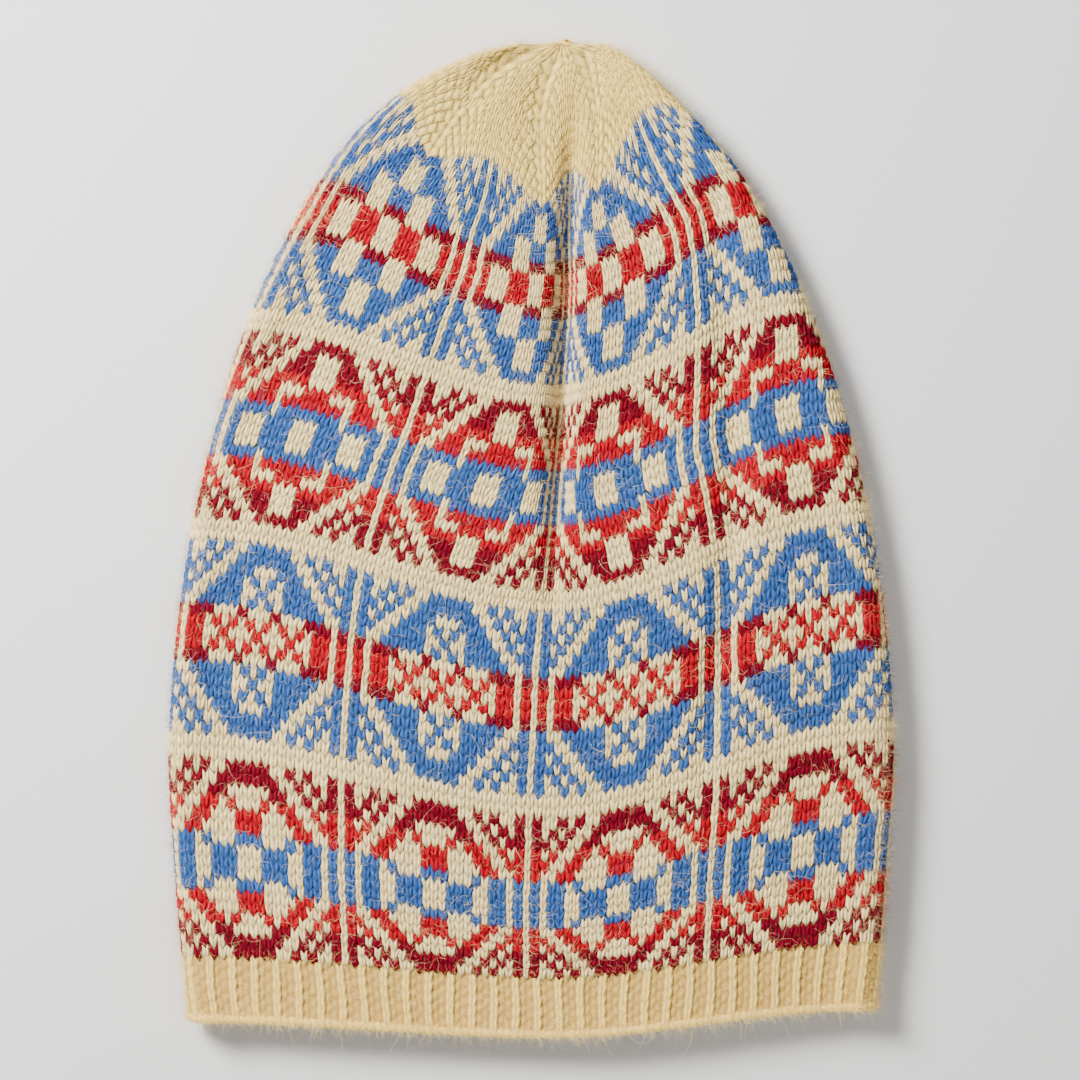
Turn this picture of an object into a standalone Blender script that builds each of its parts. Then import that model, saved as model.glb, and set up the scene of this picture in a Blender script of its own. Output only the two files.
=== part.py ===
"""A long knitted hat, lying flat on its back.

The hat is a tube knitted in the round: a ribbed brim, four patterned bands with plain rounds
between them, and a crown that is decreased and drawn up at the tip. Every stretch of rounds that
is knitted with one pair of yarns is a part of its own, a flat ring. The brim points to -Y, the
crown to +Y, the front of the hat faces +Z, and z = 0 is the surface it lies on.

The top of the hat folds forward over the front. It folds after band 3, so everything above that
round hangs on an empty on the fold line.
"""
import math

import bmesh
import bpy

# Driving dimensions, in metres
HALF_WIDTH = 0.140          # half of the flat width at the widest round
THICKNESS = 0.018           # both layers and the air between them
FABRIC = 0.003              # one layer of stranded knitting
ROUND = 0.0042              # height of one knitted round
GAP = 0.0003                # space between one part and the next
FLOAT_LAYER = 0.0008        # the strands carried behind the stitches
WIDEST_ROUND = 25           # rounds from the cast-on edge to the widest round
BRIM_DRAW_IN = 0.058        # how much narrower the brim is than the widest round
TIP_FLATTENING = 0.45       # how much thinner the hat is at the tip
TIP_HALF_WIDTH = 0.004      # where the drawn-up stitches meet

ARC_STEPS = 8               # facets round each side fold
ROUNDS_PER_FACET = 3        # the outline is followed this closely along the hat

# Rounds, from the cast-on edge up
CAST_ON_ROUNDS = 1
RIB_ROUNDS = 5
BAND_ROUNDS = 17
PLAIN_ROUNDS = 2
SHAPING_ROUNDS = 10
GATHER_ROUNDS = 2
BANDS = 4
ROUNDS = (CAST_ON_ROUNDS + RIB_ROUNDS + BANDS * BAND_ROUNDS + (BANDS - 1) * PLAIN_ROUNDS
          + SHAPING_ROUNDS + GATHER_ROUNDS)
LENGTH = ROUNDS * ROUND

# The yarns of a band, lowest round first: the yarn's name, where it lies, its number of rounds
RED_BAND = (
    ("dark_red", "lower", 3),
    ("red", "lower", 3),
    ("blue", "middle", 5),
    ("red", "upper", 3),
    ("dark_red", "upper", 3),
)
BLUE_BAND = (
    ("blue", "lower", 6),
    ("dark_red", "lower", 1),
    ("red", "middle", 3),
    ("dark_red", "upper", 1),
    ("blue", "upper", 6),
)
BAND_PLANS = (RED_BAND, BLUE_BAND, RED_BAND, BLUE_BAND)
FOLD_AFTER_BAND = 3

# Yarn colours, linear RGB
YARNS = {
    "cream": (0.76, 0.68, 0.50),
    "brim": (0.70, 0.60, 0.42),
    "blue": (0.08, 0.19, 0.46),
    "red": (0.58, 0.01, 0.02),
    "dark_red": (0.32, 0.006, 0.02),
    "floats": (0.55, 0.42, 0.34),
}
WOOL_ROUGHNESS = 0.95


def clear_scene():
    for item in list(bpy.data.objects):
        bpy.data.objects.remove(item, do_unlink=True)


def yarn_material(yarn):
    material = bpy.data.materials.new(yarn + "_wool")
    material.use_nodes = True
    shader = material.node_tree.nodes["Principled BSDF"]
    shader.inputs["Base Color"].default_value = (*YARNS[yarn], 1.0)
    shader.inputs["Roughness"].default_value = WOOL_ROUGHNESS
    shader.inputs["Metallic"].default_value = 0.0
    return material


def half_width(rounds):
    """Half of the flat width, a number of rounds above the cast-on edge."""
    if rounds < WIDEST_ROUND:
        below = (WIDEST_ROUND - rounds) / WIDEST_ROUND
        return HALF_WIDTH * (1 - BRIM_DRAW_IN * below ** 1.3)
    above = min(1.0, (rounds - WIDEST_ROUND) / (ROUNDS - WIDEST_ROUND))
    narrowed = HALF_WIDTH * (1 - above ** 1.85) ** 0.48
    return max(TIP_HALF_WIDTH, narrowed)


def thickness(rounds):
    """Height of the flat hat above the table: the crown thins out towards the tip."""
    first = ROUNDS - SHAPING_ROUNDS - GATHER_ROUNDS
    into_crown = max(0.0, (rounds - first) / (ROUNDS - first))
    return THICKNESS * (1 - TIP_FLATTENING * into_crown ** 2)


def section(rounds, inset):
    """The flat oval outline of the hat at a round, moved inwards by inset: (x, z) points."""
    radius = thickness(rounds) / 2 - inset
    straight = max(0.0, half_width(rounds) - inset - radius)
    round_end = min(radius, half_width(rounds) - inset)
    middle = thickness(rounds) / 2
    points = []
    for side in (1, -1):
        for step in range(ARC_STEPS + 1):
            angle = side * math.pi * (step / ARC_STEPS - 0.5)
            x = side * (straight + round_end * math.cos(angle))
            points.append((x, middle + radius * math.sin(side * angle) * side))
    return points


def station(rounds):
    """Y of a round's lower edge, with the hat's middle at y = 0."""
    return rounds * ROUND - LENGTH / 2


def add_loop(mesh, rounds, y, inset):
    return [mesh.verts.new((x, y, z)) for x, z in section(rounds, inset)]


def skin_between(mesh, loop_a, loop_b):
    for i in range(len(loop_a)):
        j = (i + 1) % len(loop_a)
        mesh.faces.new((loop_a[i], loop_a[j], loop_b[j], loop_b[i]))


def ring_mesh(name, first, count, outer_inset, inner_inset):
    """A tube from one round to another, with a wall between the two insets."""
    mesh = bmesh.new()
    outer = []
    inner = []
    facets = math.ceil(count / ROUNDS_PER_FACET)
    for k in range(facets + 1):
        rounds = first + count * k / facets
        y = station(rounds)
        if k == 0:
            y += GAP / 2
        if k == facets:
            y -= GAP / 2
        outer.append(add_loop(mesh, rounds, y, outer_inset))
        inner.append(add_loop(mesh, rounds, y, inner_inset))
    for k in range(facets):
        skin_between(mesh, outer[k], outer[k + 1])
        skin_between(mesh, inner[k], inner[k + 1])
    for end in (0, facets):
        skin_between(mesh, outer[end], inner[end])
    return finish_mesh(mesh, name)


def cap_mesh(name, first, count):
    """The solid end of the crown, closed at its base and at its tip."""
    mesh = bmesh.new()
    loops = []
    for k in range(2 * count + 1):
        rounds = first + k / 2
        y = station(rounds) + (GAP / 2 if k == 0 else 0.0)
        loops.append(add_loop(mesh, rounds, y, 0.0))
    for loop_a, loop_b in zip(loops, loops[1:]):
        skin_between(mesh, loop_a, loop_b)
    mesh.faces.new(loops[0])
    mesh.faces.new(loops[-1])
    return finish_mesh(mesh, name)


def finish_mesh(mesh, name):
    bmesh.ops.remove_doubles(mesh, verts=mesh.verts, dist=1e-6)
    bmesh.ops.recalc_face_normals(mesh, faces=mesh.faces)
    data = bpy.data.meshes.new(name)
    mesh.to_mesh(data)
    mesh.free()
    data.shade_smooth()
    data.set_sharp_from_angle(angle=math.radians(50))
    return data


class Hat:
    """Adds the parts from the brim up and keeps count of the rounds knitted so far."""

    def __init__(self):
        self.collection = bpy.data.collections.new("knitted_hat")
        bpy.context.scene.collection.children.link(self.collection)
        self.materials = {yarn: yarn_material(yarn) for yarn in YARNS}
        self.rounds = 0
        self.parent = None

    def place(self, name, data, yarn):
        part = bpy.data.objects.new(name, data)
        data.materials.append(self.materials[yarn])
        self.collection.objects.link(part)
        if self.parent:
            part.parent = self.parent
            part.matrix_parent_inverse = self.parent.matrix_world.inverted()

    def knit(self, name, rounds, yarn):
        data = ring_mesh(name, self.rounds, rounds, 0.0, FABRIC)
        self.place(name, data, yarn)
        self.rounds += rounds

    def line_with_floats(self, name, rounds):
        """The floats lie inside the band that starts at the round now reached."""
        inside = FABRIC + GAP
        data = ring_mesh(name, self.rounds, rounds, inside, inside + FLOAT_LAYER)
        self.place(name, data, "floats")

    def draw_up(self, name, rounds, yarn):
        self.place(name, cap_mesh(name, self.rounds, rounds), yarn)
        self.rounds += rounds

    def start_fold(self):
        """From here on the parts turn about a line across the front of the hat."""
        fold = bpy.data.objects.new("crown_fold_line", None)
        fold.location = (0.0, station(self.rounds), THICKNESS)
        self.collection.objects.link(fold)
        bpy.context.view_layer.update()
        self.parent = fold


def build():
    hat = Hat()
    hat.knit("cast_on_edge", CAST_ON_ROUNDS, "brim")
    hat.knit("ribbed_brim", RIB_ROUNDS, "brim")
    for number, plan in enumerate(BAND_PLANS, start=1):
        hat.line_with_floats(f"band_{number}_floats", BAND_ROUNDS)
        for yarn, place, rounds in plan:
            hat.knit(f"band_{number}_{yarn}_{place}", rounds, yarn)
        if number == FOLD_AFTER_BAND:
            hat.start_fold()
        if number < BANDS:
            hat.knit(f"plain_rounds_{number}", PLAIN_ROUNDS, "cream")
    hat.knit("crown_shaping", SHAPING_ROUNDS, "cream")
    hat.draw_up("crown_gather", GATHER_ROUNDS, "cream")


clear_scene()
build()
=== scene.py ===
"""The long knitted hat in wool: every stitch of its four pattern bands, the ribbed brim, the crown and fuzz.

Row frame: X across the hat, Y from the brim to the crown, Z out of its front. The fabric is a flattened tube
with two fabric coordinates: u counts stitches round it and v counts rounds up from the cast-on edge. The
front starts at LEFT_FOLD, near 0, and holds FRONT_STITCHES, near 88. The back holds the rest of the 176.
"""

import bpy
import math
import numpy as np
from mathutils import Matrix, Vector


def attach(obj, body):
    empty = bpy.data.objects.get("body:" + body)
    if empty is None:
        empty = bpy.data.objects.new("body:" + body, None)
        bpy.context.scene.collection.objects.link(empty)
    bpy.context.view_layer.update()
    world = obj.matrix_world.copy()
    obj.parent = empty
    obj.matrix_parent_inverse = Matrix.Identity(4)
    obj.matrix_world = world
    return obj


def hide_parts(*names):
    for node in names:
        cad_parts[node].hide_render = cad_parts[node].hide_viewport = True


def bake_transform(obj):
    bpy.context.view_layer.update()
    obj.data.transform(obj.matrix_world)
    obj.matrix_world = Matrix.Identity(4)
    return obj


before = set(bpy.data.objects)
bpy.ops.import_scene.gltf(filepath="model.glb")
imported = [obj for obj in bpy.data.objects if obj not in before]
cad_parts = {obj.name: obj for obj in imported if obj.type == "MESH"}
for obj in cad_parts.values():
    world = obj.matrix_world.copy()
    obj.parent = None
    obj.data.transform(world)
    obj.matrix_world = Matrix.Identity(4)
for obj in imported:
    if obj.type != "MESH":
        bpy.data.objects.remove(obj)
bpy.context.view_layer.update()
random = np.random.default_rng(7)

# ---------------------------------------------------------------- driving dimensions, in metres and rounds
HALF_WIDTH = 0.140
THICKNESS = 0.018
FABRIC = 0.0026
ROUND = 0.0042
STITCH = 0.0032
REPEAT = 22
STITCHES = 8 * REPEAT
FRONT = STITCHES // 2
BRIM_ROUNDS = 6
BAND_ROUNDS = 17
PLAIN_ROUNDS = 2
BANDS = 4
CROWN_START = BRIM_ROUNDS + BANDS * BAND_ROUNDS + (BANDS - 1) * PLAIN_ROUNDS
CROWN_ROUNDS = 12
ROUNDS = CROWN_START + CROWN_ROUNDS
LENGTH = ROUNDS * ROUND
WIDEST_ROUND = 25
BRIM_DRAW_IN = 0.058
TIP_FLATTENING = 0.45
TIP_HALF_WIDTH = 0.004
RIB_PAIRS = 66
DECREASES_FROM = CROWN_START - 1

CREAM = (0.970, 0.745, 0.340)
WARM_CREAM = (0.960, 0.690, 0.185)
BEIGE = (0.820, 0.490, 0.115)
BLUE = (0.036, 0.110, 0.330)
RED = (0.440, 0.0, 0.010)
DARK_RED = (0.190, 0.0, 0.011)

# Half of each repeat, from the round motif's middle to the line between motifs; # is the pattern yarn and
# . is cream. Nine rounds each: the band is the same above its middle round as below it.
CHARTS = {
    1: ["###..#.#..#.", "####..#.#.#.", "...##..#.##.", "..#.##..#.#.", "##...##..##.", "##....##..#.",
        "##...#.##.#.", "..###..##.#.", "..###..##.#."],
    2: ["###..#.#..#.", "####..#.#.#.", "..###..#.##.", ".#.###..#.#.", "#..####..##.", ".#.#####..#.",
        "..#...###.#.", ".#.#.#.##.#.", "#...#..##.#."],
    3: ["###..#.#..#.", "..##..#.#.#.", "..###..#.##.", "..####..#.#.", "##...##..##.", "####.###..#.",
        "####.####.#.", "..###...#.#.", "..###...#.#."],
    4: ["###..#.#..#.", "..##..#.#.#.", "..###..#.##.", "..####..#.#.", "##...##..##.", "##...###..#.",
        "##...####.#.", "..###...#.#.", "..###...#.#."],
}
RED_BAND = [DARK_RED] * 3 + [RED] * 3 + [BLUE] * 3
BLUE_BAND = [BLUE] * 6 + [DARK_RED] + [RED] * 2


# ---------------------------------------------------------------- the shape of the flattened tube
def half_width(rounds):
    below = np.clip((WIDEST_ROUND - rounds) / WIDEST_ROUND, 0, 1)
    above = np.clip((rounds - WIDEST_ROUND) / (ROUNDS - WIDEST_ROUND), 0, 1)
    drawn_in = 1 - BRIM_DRAW_IN * below ** 1.3
    narrowed = (1 - above ** 1.85) ** 0.48
    return np.maximum(TIP_HALF_WIDTH, HALF_WIDTH * drawn_in * narrowed)


def thickness(rounds):
    into_crown = np.clip((rounds - CROWN_START) / CROWN_ROUNDS, 0, 1)
    return THICKNESS * (1 - TIP_FLATTENING * into_crown ** 2)


def bell(distance, width):
    return np.exp(-((distance / width) ** 2))


def fade(value, low, high):
    """0 below low, 1 above high and smooth between them; high may be the smaller."""
    t = np.clip((value - low) / (high - low), 0, 1)
    return t * t * (3 - 2 * t)


# How far the rounds sag mid-front and ride up at its two folds, at eleven heights. In the crown
# they are arcs round the tip.
SAG_AT = [0, 6, 14.5, 33.5, 52.5, 71.5, 80, 83, 86, 90, 92]
SAG_MIDDLE = [0.001, 0.000, -0.0095, -0.0105, -0.0105, -0.0110, -0.0075, -0.0055, -0.0040, -0.0022, -0.002]
SAG_LEFT = [0.007, 0.0085, 0.010, 0.019, 0.0165, 0.020, 0.024, 0.0230, 0.0180, 0.0065, -0.002]
SAG_RIGHT = [0.0115, 0.0135, 0.017, 0.023, 0.0250, 0.025, 0.026, 0.0245, 0.0190, 0.0065, -0.002]
SAG_CENTRE = 0.06


def shift_along(rounds, across, front):
    """How far along Y a round is from its level place, at across = -1 (left fold) to 1 (right fold)."""
    left = np.interp(rounds, SAG_AT, SAG_LEFT)
    right = np.interp(rounds, SAG_AT, SAG_RIGHT)
    if not front:
        hang = 0.018 * fade(rounds, CROWN_START - 22, CROWN_START) * fade(rounds, ROUNDS, ROUNDS - 8)
        return left + (right - left) * (across + 1) / 2 + (0.003 - hang) * (1 - across ** 2)
    middle = np.interp(rounds, SAG_AT, SAG_MIDDLE)
    edge = np.where(across < SAG_CENTRE, left, right)
    reach = np.where(across < SAG_CENTRE, 1 + SAG_CENTRE, 1 - SAG_CENTRE)
    away = np.clip(np.abs(across - SAG_CENTRE) / reach, 0, 1)
    return middle + (edge - middle) * np.sin(math.pi / 2 * away) ** 1.8


def middle_line(y):
    """X of the middle of the outline: the tip leans to the right."""
    return 0.013 * np.clip((y - 0.10) / 0.0925, 0, 1) ** 6


PLEAT_DEPTH = 0.0085
PLEAT_WIDTH = 0.0048
PLEAT_SLACK = 0.95
PLEAT_SLACK_WIDTH = 0.011

# Where the left fold falls, counted in stitches, and how many stitches lie on the front, at five heights.
FOLDS_AT = [6, 14.5, 33.5, 52.5, 71.5]
LEFT_FOLD = [1.1, 1.1, 0.6, 0.0, -2.6]
FRONT_STITCHES = [88.2, 88.2, 87.2, 85.3, 80.6]


def pleat_line(y):
    """X of the long soft pleat down the front of the upper half, and how deep it is there, 0 to 1."""
    x = 0.0095 + 0.007 * np.clip(y / 0.17, -0.3, 1)
    return x, fade(y, -0.050, 0.035) * fade(y, 0.188, 0.120)


def wrinkles(x, y):
    """How far the front dips below its full height: the pleat, the diagonal fold and some soft hollows."""
    pleat_x, pleat = pleat_line(y)
    dip = PLEAT_DEPTH * pleat * bell(x - pleat_x, PLEAT_WIDTH)
    diagonal_x = 0.0655 + 0.012 * np.sin(math.pi * np.clip((y + 0.10) / 0.26, 0, 1))
    dip = dip + 0.0030 * bell(x - diagonal_x, 0.0065) * fade(y, -0.115, -0.05) * fade(y, 0.16, 0.11)
    dip = dip + 0.0012 * bell(x + 0.046 - 0.18 * y, 0.010) * fade(y, -0.03, 0.05) * fade(y, 0.16, 0.10)
    soft = np.sin(31 * x + 17 * y + 0.6) * np.sin(23 * y - 12 * x + 1.1)
    return dip + 0.0012 * (1 + soft)


def section(rounds, front):
    """One side of the tube at one round, densely, as X, Y, Z and the share of the side's stitches passed."""
    across = -np.cos(np.linspace(0, math.pi, 901))
    y = rounds * ROUND - LENGTH / 2 + shift_along(rounds, across, front)
    at = np.clip((y + LENGTH / 2) / ROUND, 0, ROUNDS)
    width = half_width(at) * (1 - 0.8 * fade(rounds, ROUNDS - 2, ROUNDS))
    thick = thickness(rounds)
    x = middle_line(y) + across * width
    edge = np.minimum(thick / 2, width)
    past = np.clip((np.abs(across) * width - (width - edge)) / edge, 0, 1)
    rounded = np.sqrt(np.clip(1 - past ** 2, 0, 1))
    if front:
        z = thick / 2 + (thick / 2 - 0.0014) * rounded
        full = fade(width * (1 - np.abs(across)), 0.0, 0.022)
        z = z - wrinkles(x, y) * full * (thick / THICKNESS)
    else:
        z = thick / 2 - (thick / 2 - 0.0011) * rounded
    along = np.diff(y) * fade(rounds, CROWN_START - 6, CROWN_START + 3)
    step = np.sqrt(np.diff(x) ** 2 + along ** 2 + np.diff(z) ** 2)
    if front:
        pleat_x, pleat = pleat_line(y)
        slack = PLEAT_SLACK * pleat * bell(x - pleat_x, PLEAT_SLACK_WIDTH)
        step = step * (1 + (slack[1:] + slack[:-1]) / 2)
    passed = np.concatenate([[0], np.cumsum(step)])
    return x, y, z, passed / passed[-1]


PER_STITCH = 4
PER_ROUND = 4


def base_table():
    """The fabric's smooth surface on a fine grid of v (rows) and u (columns), and its outward normals."""
    u = np.arange(STITCHES * PER_STITCH) / PER_STITCH
    rows = []
    for step in range(ROUNDS * PER_ROUND + 1):
        v = step / PER_ROUND
        front = section(v, True)
        back = section(v, False)
        on_front = np.interp(v, FOLDS_AT, FRONT_STITCHES)
        past = (u - np.interp(v, FOLDS_AT, LEFT_FOLD)) % STITCHES
        over_share = past / on_front
        under_share = 1 - (past - on_front) / (STITCHES - on_front)
        ring = []
        for axis in range(3):
            over = np.interp(over_share, front[3], front[axis])
            under = np.interp(under_share, back[3], back[axis])
            ring.append(np.where(past < on_front, over, under))
        rows.append(np.stack(ring, axis=1))
    points = np.array(rows)
    around = np.roll(points, -1, axis=1) - np.roll(points, 1, axis=1)
    along = np.gradient(points, axis=0)
    normals = np.cross(around, along)
    normals /= np.linalg.norm(normals, axis=2, keepdims=True) + 1e-12
    return points, normals


POINTS, NORMALS = base_table()


def look_up(table, u, v):
    """The table's value at any u and v, bilinear; u wraps round."""
    column = (u % STITCHES) * PER_STITCH
    row = np.clip(v * PER_ROUND, 0, table.shape[0] - 1)
    c0 = np.floor(column).astype(int)
    r0 = np.minimum(np.floor(row).astype(int), table.shape[0] - 2)
    fc = (column - c0)[..., None]
    fr = (row - r0)[..., None]
    c0 = c0 % table.shape[1]
    c1 = (c0 + 1) % table.shape[1]
    low = table[r0, c0] * (1 - fc) + table[r0, c1] * fc
    high = table[r0 + 1, c0] * (1 - fc) + table[r0 + 1, c1] * fc
    return low * (1 - fr) + high * fr


def from_decreases(u):
    """0 on the eight lines where the crown loses its stitches and 1 half way between them."""
    return np.abs(np.sin(math.pi * (u - REPEAT / 2 - 0.5) / REPEAT)) ** 1.3


def chevron(u, v):
    """The rounds dip at the decrease lines and rise between them, most of all where the crown begins."""
    grown = fade(v, CROWN_START - 8, CROWN_START + 1) * fade(v, ROUNDS, ROUNDS - 7)
    return 1.4 * grown * (2 * from_decreases(u) - 1)


LOOSE = random.normal(0, 1, (2, ROUNDS * 2 + 3, STITCHES * 2))


def loosened(u, v):
    """Hand knitting isn't even: u and v wander a little, smoothly, from stitch to stitch."""
    column = (u % STITCHES) * 2
    row = np.clip(v + 1, 0, ROUNDS + 0.9) * 2
    c0, r0 = np.floor(column).astype(int), np.floor(row).astype(int)
    fc, fr = column - c0, row - r0
    c0 = c0 % (STITCHES * 2)
    c1 = (c0 + 1) % (STITCHES * 2)
    r1 = np.minimum(r0 + 1, LOOSE.shape[1] - 1)
    low = LOOSE[:, r0, c0] * (1 - fc) + LOOSE[:, r0, c1] * fc
    high = LOOSE[:, r1, c0] * (1 - fc) + LOOSE[:, r1, c1] * fc
    wander = low * (1 - fr) + high * fr
    calm = fade(v, ROUNDS, ROUNDS - 6) * fade(v, 0, 1)
    return u + 0.085 * wander[0] * calm, v + 0.10 * wander[1] * calm + chevron(u, v)


def on_fabric(u, v, height):
    """Points height metres out from the fabric's surface."""
    normal = look_up(NORMALS, u, v)
    normal = normal / (np.linalg.norm(normal, axis=-1, keepdims=True) + 1e-12)
    below = np.minimum(v, 0)[..., None] * np.array([0, ROUND, 0])
    return look_up(POINTS, u, v) + below + normal * height[..., None]


def crown_flutes(u, v):
    """The decrease lines lie deeper, and the crown stands up in soft flutes between them."""
    into = fade(v, CROWN_START - 6, CROWN_START + 4) * fade(v, ROUNDS + 0.5, ROUNDS - 3)
    return -0.0026 * into * (1 - from_decreases(u)) ** 1.2


# ---------------------------------------------------------------- yarn colours, stitch by stitch
def pattern_cell(band, band_round, stitch):
    """True where the pattern yarn shows in that stitch of that round of the band."""
    row = min(band_round, BAND_ROUNDS - 1 - band_round)
    column = abs(stitch % REPEAT - REPEAT // 2)
    return CHARTS[band][row][column] == "#"


def pattern_yarn(band, band_round):
    row = min(band_round, BAND_ROUNDS - 1 - band_round)
    return (RED_BAND if band % 2 else BLUE_BAND)[row]


def band_of(round_number):
    """(band, round within it) of a round, or None in the brim, the plain rounds and the crown."""
    past = round_number - BRIM_ROUNDS
    band, within = divmod(past, BAND_ROUNDS + PLAIN_ROUNDS)
    if past < 0 or band >= BANDS or within >= BAND_ROUNDS:
        return None
    return band + 1, within


def stitch_colour(round_number, stitch):
    place = band_of(round_number)
    if round_number < BRIM_ROUNDS:
        return BEIGE
    if round_number >= CROWN_START:
        return WARM_CREAM
    if place is None:
        return CREAM
    return pattern_yarn(*place) if pattern_cell(*place, stitch) else CREAM


def float_colour(round_number, stitch):
    """The yarn carried behind a stitch: the one that isn't knitted there."""
    place = band_of(round_number)
    if place is None:
        return stitch_colour(round_number, stitch)
    return CREAM if pattern_cell(*place, stitch) else pattern_yarn(*place)


# ---------------------------------------------------------------- meshes
def make_mesh(name, points, faces, colours, uvs, smooth=True):
    """A mesh object. colours and uvs have one row for each point; faces is an array of quads."""
    mesh = bpy.data.meshes.new(name)
    mesh.vertices.add(len(points))
    mesh.vertices.foreach_set("co", np.asarray(points, np.float32).ravel())
    mesh.loops.add(faces.size)
    mesh.loops.foreach_set("vertex_index", faces.astype(np.int32).ravel())
    mesh.polygons.add(len(faces))
    mesh.polygons.foreach_set("loop_start", np.arange(0, faces.size, faces.shape[1], dtype=np.int32))
    mesh.update(calc_edges=True)
    mesh.validate()
    mesh.polygons.foreach_set("use_smooth", np.full(len(mesh.polygons), smooth))
    corner = np.empty(len(mesh.loops), np.int32)
    mesh.loops.foreach_get("vertex_index", corner)
    if colours is not None:
        layer = mesh.color_attributes.new("yarn", "FLOAT_COLOR", "CORNER")
        rgba = np.concatenate([colours, np.ones((len(colours), 1))], axis=1)
        layer.data.foreach_set("color", rgba[corner].astype(np.float32).ravel())
    if uvs is not None:
        uv_layer = mesh.uv_layers.new(name="fabric")
        uv_layer.data.foreach_set("uv", uvs[corner].astype(np.float32).ravel())
    made = bpy.data.objects.new(name, mesh)
    bpy.context.collection.objects.link(made)
    return made


def grid_faces(across, along, start=0):
    """Quads of a grid of points, across by along, numbered row by row from start."""
    i, j = np.meshgrid(np.arange(across - 1), np.arange(along - 1))
    first = (start + j * across + i).ravel()
    return np.stack([first, first + 1, first + across + 1, first + across], axis=1)


LEG_POINTS = 7
ROW_POINTS = 5
LOOP_SKEW = 0.60
LOOP_RELIEF = 0.00088


def stitch_patch():
    """Across and up coordinates of one stitch's points, its V-shaped shift down and its height."""
    a, b = np.meshgrid(np.linspace(0, 1, LEG_POINTS), np.linspace(0, 1, ROW_POINTS))
    a, b = a.ravel(), b.ravel()
    shift = -LOOP_SKEW * (1 - np.abs(2 * a - 1))
    legs = np.abs(np.sin(2 * math.pi * a)) ** 0.75
    swell = 0.10 + 0.90 * np.sin(math.pi * b) ** 0.6
    return a, b, shift, legs * swell - 0.35


PATCH_A, PATCH_B, PATCH_SHIFT, PATCH_HEIGHT = stitch_patch()
PATCH_SHADE = 0.42 + 0.58 * np.clip((PATCH_HEIGHT + 0.35) / 0.6, 0, 1) ** 0.7
PATCH_SHADE = PATCH_SHADE * (1 - 0.55 * np.exp(-((PATCH_A - 0.5) / 0.13) ** 2 - (PATCH_B / 0.3) ** 2))


def web(name, first, last):
    """The strands between loops of rounds that lose stitches, a little below them, in each stitch's yarn."""
    i, j = np.meshgrid(np.arange(STITCHES), np.arange((last - first) * 2 + 2))
    u = i + 0.0
    v = first - 0.4 + j / 2
    points = on_fabric(u, np.minimum(v + chevron(u, v), last), -0.0004 + crown_flutes(u, v)).reshape(-1, 3)
    yarns = [stitch_colour(int(row), int(column)) for row, column in zip(v.ravel(), u.ravel())]
    colours = np.array(yarns) * 0.6
    uvs = np.stack([u * STITCH, v * ROUND], axis=-1).reshape(-1, 2)
    start = (j[:-1] * STITCHES + i[:-1]).ravel()
    right = (j[:-1] * STITCHES + (i[:-1] + 1) % STITCHES).ravel()
    faces = np.stack([start, right, right + STITCHES, start + STITCHES], axis=1)
    return make_mesh(name, points, faces, colours, uvs)


def knit(name, stitches, relief=LOOP_RELIEF):
    """One mesh of knit stitches. Each is (u of its lower left and right, upper left and right, v, colour)."""
    edges = np.array([stitch[:4] for stitch in stitches])
    v0 = np.array([stitch[4] for stitch in stitches])
    colour = np.array([stitch[5] for stitch in stitches])
    count = len(stitches)
    colour = colour * random.uniform(0.90, 1.08, (count, 1))
    plump = random.uniform(0.82, 1.12, (count, 1))
    low = edges[:, 0:1] + (edges[:, 1:2] - edges[:, 0:1]) * PATCH_A
    high = edges[:, 2:3] + (edges[:, 3:4] - edges[:, 2:3]) * PATCH_A
    u = low + (high - low) * PATCH_B
    v = v0[:, None] + PATCH_B + PATCH_SHIFT
    height = relief * PATCH_HEIGHT * plump + crown_flutes(u, v)
    points = on_fabric(*loosened(u, v), height).reshape(-1, 3)
    uvs = np.stack([u * STITCH, v * ROUND], axis=-1).reshape(-1, 2)
    colours = (colour[:, None, :] * PATCH_SHADE[None, :, None]).reshape(-1, 3)
    patch = grid_faces(LEG_POINTS, ROW_POINTS)
    faces = (patch[None] + len(PATCH_A) * np.arange(count)[:, None, None]).reshape(-1, 4)
    return make_mesh(name, points, faces, colours, uvs)


def full_rounds(first, last):
    """Every stitch of the rounds from first up to last - 1. The pattern yarn spreads over the cream."""
    stitches = []
    for number in range(first, last):
        place = band_of(number)
        shows = [place is not None and pattern_cell(*place, s) for s in range(STITCHES)]
        spread = [0.10 * (float(shows[s - 1]) - float(shows[s])) for s in range(STITCHES)]
        spread.append(spread[0])
        for s in range(STITCHES):
            left, right = s + spread[s], s + 1 + spread[s + 1]
            stitches.append((left, right, left, right, number, stitch_colour(number, s)))
    return stitches


def wedge_count(number):
    """How many stitches of each repeat are left in a round: fewer and fewer once the decreases have begun."""
    left = REPEAT * (ROUNDS - number - 0.5) / (ROUNDS - DECREASES_FROM)
    return int(np.clip(2 * round(left / 2), 2, REPEAT))


def narrowing_rounds(first, last):
    """Rounds that lose stitches, always the two beside the middle stitch of every round motif."""
    stitches = []
    for number in range(first, last):
        before, count = wedge_count(number - 1), wedge_count(number)
        lost = (before - count) / 2
        for wedge in range(8):
            middle = wedge * REPEAT + REPEAT // 2
            for k in range(count):
                low = [-0.5 - lost, 0.5 + lost] if k == 0 else [k - 0.5 + lost, k + 0.5 + lost]
                shares = [low[0] / before, low[1] / before, (k - 0.5) / count, (k + 0.5) / count]
                corners = [middle + 0.5 + share * REPEAT for share in shares]
                stitch = middle if k == 0 else middle + k + (REPEAT - count) // 2
                stitches.append((*corners, number, stitch_colour(number, stitch)))
    return stitches


KNIT_SHARE = 0.40


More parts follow.
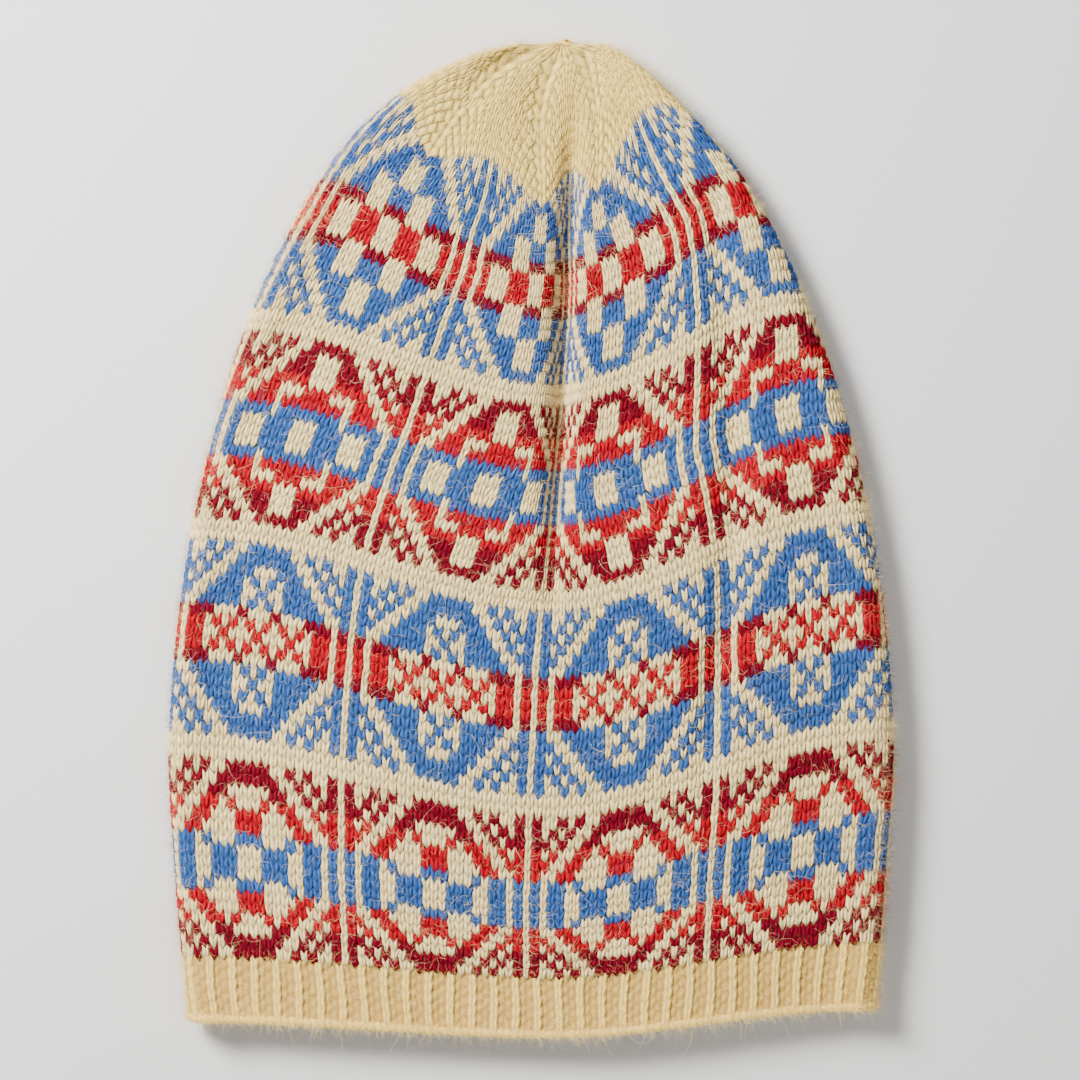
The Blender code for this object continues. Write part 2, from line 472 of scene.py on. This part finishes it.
def ribbed_brim(name):
    """Rib: a narrow raised column of knit stitches, then a wider sunken one of purl bumps, all round."""
    across, along = 20, 6
    columns = RIB_PAIRS * across
    rows = BRIM_ROUNDS * along + 5
    i, j = np.meshgrid(np.arange(columns), np.arange(rows))
    share = (i % across) / across
    u = i / across * (STITCHES / RIB_PAIRS)
    v = j / along * 1.0
    knitted = share < KNIT_SHARE
    a = np.clip(share / KNIT_SHARE, 0, 1)
    p = np.clip((share - KNIT_SHARE) / (1 - KNIT_SHARE), 0, 1)
    b = v % 1
    ridge = np.where(knitted, np.sin(math.pi * a) ** 0.5, 0)
    leg_across = np.where(knitted, np.abs(np.sin(2 * math.pi * a)) ** 0.8, 0)
    leg = leg_across * (0.4 + 0.6 * np.sin(math.pi * b) ** 0.6)
    purl = np.where(knitted, 0, np.abs(np.sin(2 * math.pi * p)))
    purl = purl * np.abs(np.sin(math.pi * (v + np.where(p > 0.5, 0.5, 0))))
    shift = np.where(knitted, -0.5 * (1 - np.abs(2 * a - 1)), 0.10 * np.sin(math.pi * p)) * fade(v, 0, 1.2)
    tucked = fade(v, BRIM_ROUNDS - 0.3, BRIM_ROUNDS + 0.5)
    height = 0.0006 * ridge + 0.0008 * leg + 0.0006 * purl - 0.0010 - 0.0006 * tucked
    wobble = 0.10 * np.sin(i * 0.035 + j * 0.15) + 0.05 * np.sin(j * 0.9 + i * 0.11)
    points = on_fabric(u + wobble, v + shift, height).reshape(-1, 3)
    pale = np.clip(0.55 * ridge + 0.45 * leg + 0.25 * purl, 0, 1)[..., None]
    light, dark = np.array(WARM_CREAM) * 1.03, np.array(BEIGE) * 0.62
    colours = (light * pale + dark * (1 - pale)) * random.uniform(0.93, 1.05, (rows, columns, 1))
    uvs = np.stack([u * STITCH, (v + shift) * ROUND], axis=-1).reshape(-1, 2)
    first = (j[:-1] * columns + i[:-1]).ravel()
    right = (j[:-1] * columns + (i[:-1] + 1) % columns).ravel()
    faces = np.stack([first, right, right + columns, first + columns], axis=1)
    return make_mesh(name, points, faces, colours.reshape(-1, 3), uvs)


def cast_on_edge(name):
    """A rounded, looped cord along the mouth, from the outside of the fabric to its inside."""
    loops_round = RIB_PAIRS * 3
    around, ring = loops_round * 6, 10
    i, j = np.meshgrid(np.arange(around), np.arange(ring))
    u = i / around * STITCHES
    angle = 2 * math.pi * j / ring
    size = random.uniform(0.4, 1.6, loops_round)[i // 6]
    loops = np.abs(np.sin(math.pi * i / 6 + 0.3 * np.sin(angle))) * size
    radius = 0.00125 + 0.00050 * loops
    height = -FABRIC / 2 + radius * np.cos(angle)
    v = 0.28 + radius * np.sin(angle) / ROUND
    points = on_fabric(u, v, height).reshape(-1, 3)
    cream = np.tile(np.array(WARM_CREAM) * 1.03, (len(points), 1))
    colours = cream * random.uniform(0.93, 1.05, (len(points), 1))
    uvs = np.stack([u * STITCH, angle * 0.0015], axis=-1).reshape(-1, 2)
    first = (j * around + i).ravel()
    right = (j * around + (i + 1) % around).ravel()
    up = ((j + 1) % ring * around + i).ravel()
    up_right = ((j + 1) % ring * around + (i + 1) % around).ravel()
    return make_mesh(name, points, np.stack([first, right, up_right, up], axis=1), colours, uvs)


def lining(name):
    """The inside of the fabric: purl bumps, with the other yarn's floats lying across them."""
    rows = ROUNDS * 2 + 1
    columns = STITCHES * 2
    i, j = np.meshgrid(np.arange(columns), np.arange(rows))
    u, v = i / 2, j / 2
    bump = 0.0004 * np.sin(math.pi * v) ** 2
    points = on_fabric(u, v + chevron(u, v), -FABRIC - bump).reshape(-1, 3)
    table = [[float_colour(min(r, ROUNDS - 1), s) for s in range(STITCHES)] for r in range(ROUNDS + 1)]
    table = np.array(table)
    colours = table[np.minimum(j // 2, ROUNDS), (i // 2) % STITCHES].reshape(-1, 3) * 0.85
    uvs = np.stack([u * STITCH, v * ROUND], axis=-1).reshape(-1, 2)
    first = (j[:-1] * columns + i[:-1]).ravel()
    right = (j[:-1] * columns + (i[:-1] + 1) % columns).ravel()
    faces = np.stack([first, first + columns, right + columns, right], axis=1)
    return make_mesh(name, points, faces, colours, uvs)


def gathered_tip(name):
    """The last stitches drawn together: a small puckered cap over the top of the crown."""
    around, rings = 96, 8
    i, j = np.meshgrid(np.arange(around), np.arange(rings))
    u = i / around * STITCHES
    share = 1 - j / rings
    edge = on_fabric(u, np.full(u.shape, ROUNDS - 0.05), np.zeros(u.shape))
    centre = edge[0].mean(axis=0)
    flat = centre + (edge - centre) * share[..., None]
    pucker = 0.0006 * np.cos(16 * 2 * math.pi * i / around) * share
    flat[..., 1] += 0.0003 * (1 - share ** 2) + pucker
    points = np.concatenate([flat.reshape(-1, 3), [centre + np.array([0, 0.0008, 0])]])
    first = (j[:-1] * around + i[:-1]).ravel()
    right = (j[:-1] * around + (i[:-1] + 1) % around).ravel()
    faces = np.stack([first, first + around, right + around, right], axis=1)
    last = (rings - 1) * around + np.arange(around)
    hub = np.full(around, len(points) - 1)
    closing = np.stack([last, hub, hub, np.roll(last, -1)], axis=1)
    colours = np.tile(np.array(WARM_CREAM) * 0.95, (len(points), 1))
    uvs = points[:, [0, 2]]
    mesh_faces = np.concatenate([faces, closing])
    return make_mesh(name, points, mesh_faces, colours, uvs)


# ---------------------------------------------------------------- wool fuzz
FIBRE_POINTS = 5
FUZZ_YARNS = {"cream": CREAM, "warm_cream": WARM_CREAM, "blue": BLUE, "red": RED, "dark_red": DARK_RED}
LONGEST_FIBRE = 0.016
HIGHEST_LIFT = 0.005
LONG_HAIRS = 0.012
STRAYED = 0.09


def fibres(u, v, length, lift, width, curl):
    """Thin curved ribbons that start in the fabric at each u, v and wander out of it."""
    count = len(u)
    place = on_fabric(u, v, np.full(count, 0.0001))
    normal = look_up(NORMALS, u, v)
    side = look_up(POINTS, u + 0.3, v) - look_up(POINTS, u - 0.3, v)
    side /= np.linalg.norm(side, axis=1, keepdims=True) + 1e-12
    up = np.cross(normal, side)
    heading = random.uniform(0, 2 * math.pi, (count, 1))
    turn = random.normal(0, 1, (count, 1)) * curl[:, None]
    points = np.empty((count, FIBRE_POINTS, 2, 3))
    step = length[:, None] / (FIBRE_POINTS - 1)
    for k in range(FIBRE_POINTS):
        t = k / (FIBRE_POINTS - 1)
        angle = heading + turn * t
        across = side * -np.sin(angle) + up * np.cos(angle)
        half = width[:, None] / 2 * (1 - 0.6 * t)
        risen = place + normal * (lift[:, None] * math.sin(math.pi / 2 * t))
        points[:, k, 0] = risen - across * half
        points[:, k, 1] = risen + across * half
        place = place + (side * np.cos(angle) + up * np.sin(angle)) * step
    points[..., 2] = np.maximum(points[..., 2], 0.0002)
    strip = grid_faces(2, FIBRE_POINTS)
    faces = strip[None] + 2 * FIBRE_POINTS * np.arange(count)[:, None, None]
    return points.reshape(-1, 3), faces.reshape(-1, 4)


def fuzz_roots(count):
    """Where the fibres start: all over, more along the two folds and the cast-on edge, fewer at the tip."""
    u = random.uniform(0, STITCHES, count)
    v = random.uniform(0.05, ROUNDS - 0.1, count)
    pick = random.uniform(size=count)
    near_fold = random.normal(0, 2.0, count) + np.where(random.uniform(size=count) < 0.5, 0, FRONT)
    u = np.where(pick < 0.18, near_fold, u) % STITCHES
    v = np.where(pick > 0.94, random.uniform(0.0, 0.8, count), v)
    kept = random.uniform(size=count) > np.clip((v - CROWN_START) / CROWN_ROUNDS, 0, 1) * 0.85
    return u[kept], v[kept]


def fuzz(count):
    """Fuzz all over the hat, one object for each yarn colour, with some long loose hairs among it."""
    u, v = fuzz_roots(count)
    owner = [stitch_colour(int(r), int(s)) for r, s in zip(v, u)]
    strayed = random.uniform(size=len(u)) < STRAYED
    owner = [CREAM if away else yarn for yarn, away in zip(owner, strayed)]
    owner = [WARM_CREAM if yarn == BEIGE else yarn for yarn in owner]
    v = v + chevron(u, v)
    made = []
    for label, colour in FUZZ_YARNS.items():
        mine = np.array([yarn == colour for yarn in owner])
        n = int(mine.sum())
        long = random.uniform(size=n) < LONG_HAIRS
        length = random.gamma(3.0, 0.0010, n) * np.where(long, 3.5, 1)
        lift = random.gamma(2.0, 0.00055, n) * np.where(long, 2.0, 1) + 0.0005
        curl = np.where(long, 3.0, 1.5)
        width = random.uniform(0.00004, 0.00008, n)
        kept_length = np.minimum(length, LONGEST_FIBRE)
        kept_lift = np.minimum(lift, HIGHEST_LIFT)
        points, faces = fibres(u[mine], v[mine], kept_length, kept_lift, width, curl)
        piece = make_mesh(f"{label}_fuzz", points, faces, None, None)
        piece.data.materials.append(fibre_material(f"{label} fibre", colour))
        made.append(piece)
    return made


# ---------------------------------------------------------------- materials
def new_material(name):
    material = bpy.data.materials.new(name)
    material.use_nodes = True
    nodes = material.node_tree.nodes
    nodes.clear()
    shader = nodes.new("ShaderNodeBsdfPrincipled")
    output = nodes.new("ShaderNodeOutputMaterial")
    material.node_tree.links.new(shader.outputs["BSDF"], output.inputs["Surface"])
    return material, nodes, material.node_tree.links, shader


def fibre_material(name, colour):
    material, _, _, shader = new_material(name)
    pale = [min(1.0, c * 0.97 + 0.02) for c in colour]
    shader.inputs["Base Color"].default_value = (*pale, 1)
    shader.inputs["Roughness"].default_value = 0.85
    shader.inputs["Specular IOR Level"].default_value = 0.1
    return material


def ranged(nodes, links, source, low, high):
    """The 0 to 1 source spread between low and high."""
    node = nodes.new("ShaderNodeMapRange")
    node.inputs["To Min"].default_value = low
    node.inputs["To Max"].default_value = high
    links.new(source, node.inputs["Value"])
    return node.outputs["Result"]


def noise(nodes, links, vector, scale, detail, stretch=(1, 1, 1)):
    mapping = nodes.new("ShaderNodeMapping")
    mapping.inputs["Scale"].default_value = stretch
    links.new(vector, mapping.inputs["Vector"])
    node = nodes.new("ShaderNodeTexNoise")
    node.inputs["Scale"].default_value = scale
    node.inputs["Detail"].default_value = detail
    node.inputs["Roughness"].default_value = 0.6
    links.new(mapping.outputs["Vector"], node.inputs["Vector"])
    return node.outputs["Fac"]


def wool_material(name):
    """Brushed wool: yarn colour from the mesh, mottled; matt, with a fibrous bump."""
    material, nodes, links, shader = new_material(name)
    colour = nodes.new("ShaderNodeVertexColor")
    colour.layer_name = "yarn"
    uv = nodes.new("ShaderNodeUVMap")
    uv.uv_map = "fabric"
    mottle = noise(nodes, links, uv.outputs["UV"], 900, 3)
    fibre = noise(nodes, links, uv.outputs["UV"], 1500, 4, (3.5, 1, 1))
    worn = noise(nodes, links, uv.outputs["UV"], 45, 2)
    shade = nodes.new("ShaderNodeMath")
    shade.operation = "MULTIPLY"
    links.new(ranged(nodes, links, mottle, 0.72, 1.28), shade.inputs[0])
    links.new(ranged(nodes, links, worn, 0.90, 1.10), shade.inputs[1])
    tinted = nodes.new("ShaderNodeVectorMath")
    tinted.operation = "SCALE"
    links.new(colour.outputs["Color"], tinted.inputs[0])
    links.new(shade.outputs["Value"], tinted.inputs["Scale"])
    links.new(tinted.outputs["Vector"], shader.inputs["Base Color"])
    links.new(ranged(nodes, links, fibre, 0.78, 0.98), shader.inputs["Roughness"])
    bump = nodes.new("ShaderNodeBump")
    bump.inputs["Strength"].default_value = 0.7
    bump.inputs["Distance"].default_value = 0.0004
    links.new(fibre, bump.inputs["Height"])
    links.new(bump.outputs["Normal"], shader.inputs["Normal"])
    shader.inputs["Specular IOR Level"].default_value = 0.1
    return material


# ---------------------------------------------------------------- the pieces
WOOL = wool_material("brushed wool")


def band_nodes(band):
    if band % 2:
        parts = ["dark_red_lower", "red_lower", "blue_middle", "red_upper", "dark_red_upper"]
    else:
        parts = ["blue_lower", "dark_red_lower", "red_middle", "dark_red_upper", "blue_upper"]
    return [f"band_{band}_{part}" for part in parts]


def crosses_fold(piece):
    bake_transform(piece)


def finish_piece(piece, nodes, body):
    """Material, slot, CAD nodes and body of one ring of fabric."""
    piece.data.materials.append(WOOL)
    if nodes:
        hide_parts(*nodes)
    if body == "fold":
        crosses_fold(piece)
    else:
        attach(piece, body)


def build():
    brim = ribbed_brim("ribbed_brim_knit")
    finish_piece(brim, ["ribbed_brim"], "hat_body")
    edge = cast_on_edge("cast_on_loops")
    finish_piece(edge, ["cast_on_edge"], "hat_body")
    start = BRIM_ROUNDS
    for band in range(1, BANDS + 1):
        end = start + BAND_ROUNDS
        narrowing = max(start, min(end, DECREASES_FROM))
        rounds = full_rounds(start, narrowing) + narrowing_rounds(narrowing, end)
        piece = knit(f"pattern_band_{band}", rounds)
        finish_piece(piece, band_nodes(band), "hat_body" if band < 3 else "fold")
        start = end
        if band < BANDS:
            end = start + PLAIN_ROUNDS
            plain = knit(f"plain_knit_{band}", full_rounds(start, end))
            body = "hat_body" if band < 3 else "fold"
            finish_piece(plain, [f"plain_rounds_{band}"], body)
            start = end
    crown = knit("crown_knit", narrowing_rounds(CROWN_START, ROUNDS), relief=0.75 * LOOP_RELIEF)
    finish_piece(crown, ["crown_shaping"], "folding_crown")
    strands = web("crown_strands", DECREASES_FROM, ROUNDS)
    finish_piece(strands, [], "fold")
    tip = gathered_tip("gathered_tip")
    finish_piece(tip, ["crown_gather"], "folding_crown")
    inside = lining("inside_with_floats")
    floats = [f"band_{band}_floats" for band in range(1, BANDS + 1)]
    finish_piece(inside, floats, "fold")
    hairs = fuzz(160000)
    for piece in hairs:
        crosses_fold(piece)


# ---------------------------------------------------------------- floor, light and camera
def plain_material(name, colour, roughness):
    material, _, _, shader = new_material(name)
    shader.inputs["Base Color"].default_value = (*colour, 1)
    shader.inputs["Roughness"].default_value = roughness
    return material


def area_light(name, place, size, power, target=(0, 0, 0)):
    data = bpy.data.lights.new(name, "AREA")
    data.shape = "RECTANGLE"
    data.size, data.size_y = size
    data.energy = power
    light = bpy.data.objects.new(name, data)
    light.location = place
    aim = np.array(target) - np.array(place)
    light.rotation_euler = Vector(aim).to_track_quat("-Z", "Y").to_euler()
    bpy.context.collection.objects.link(light)
    return light


def studio():
    bpy.ops.mesh.primitive_plane_add(size=8, location=(0, 0, -0.0004))
    floor = bpy.context.object
    floor.name = "floor"
    floor.data.materials.append(plain_material("pale floor", (0.72, 0.71, 0.69), 0.9))
    area_light("key", (-0.75, 0.60, 0.85), (0.45, 0.45), 54)
    area_light("fill", (0.9, -0.5, 1.4), (1.4, 1.4), 10)
    world = bpy.data.worlds.new("studio")
    world.use_nodes = True
    world.node_tree.nodes["Background"].inputs["Color"].default_value = (1, 1, 1, 1)
    world.node_tree.nodes["Background"].inputs["Strength"].default_value = 0.34
    bpy.context.scene.world = world


CAMERA_HEIGHT = 1.30
FRAME_HEIGHT = 0.4147


def camera():
    data = bpy.data.cameras.new("camera")
    data.sensor_width = 36
    data.lens = 36 * (CAMERA_HEIGHT - THICKNESS) / FRAME_HEIGHT
    made = bpy.data.objects.new("camera", data)
    made.location = (0.0033, -0.0006, CAMERA_HEIGHT)
    bpy.context.collection.objects.link(made)
    bpy.context.scene.camera = made


studio()
camera()
build()
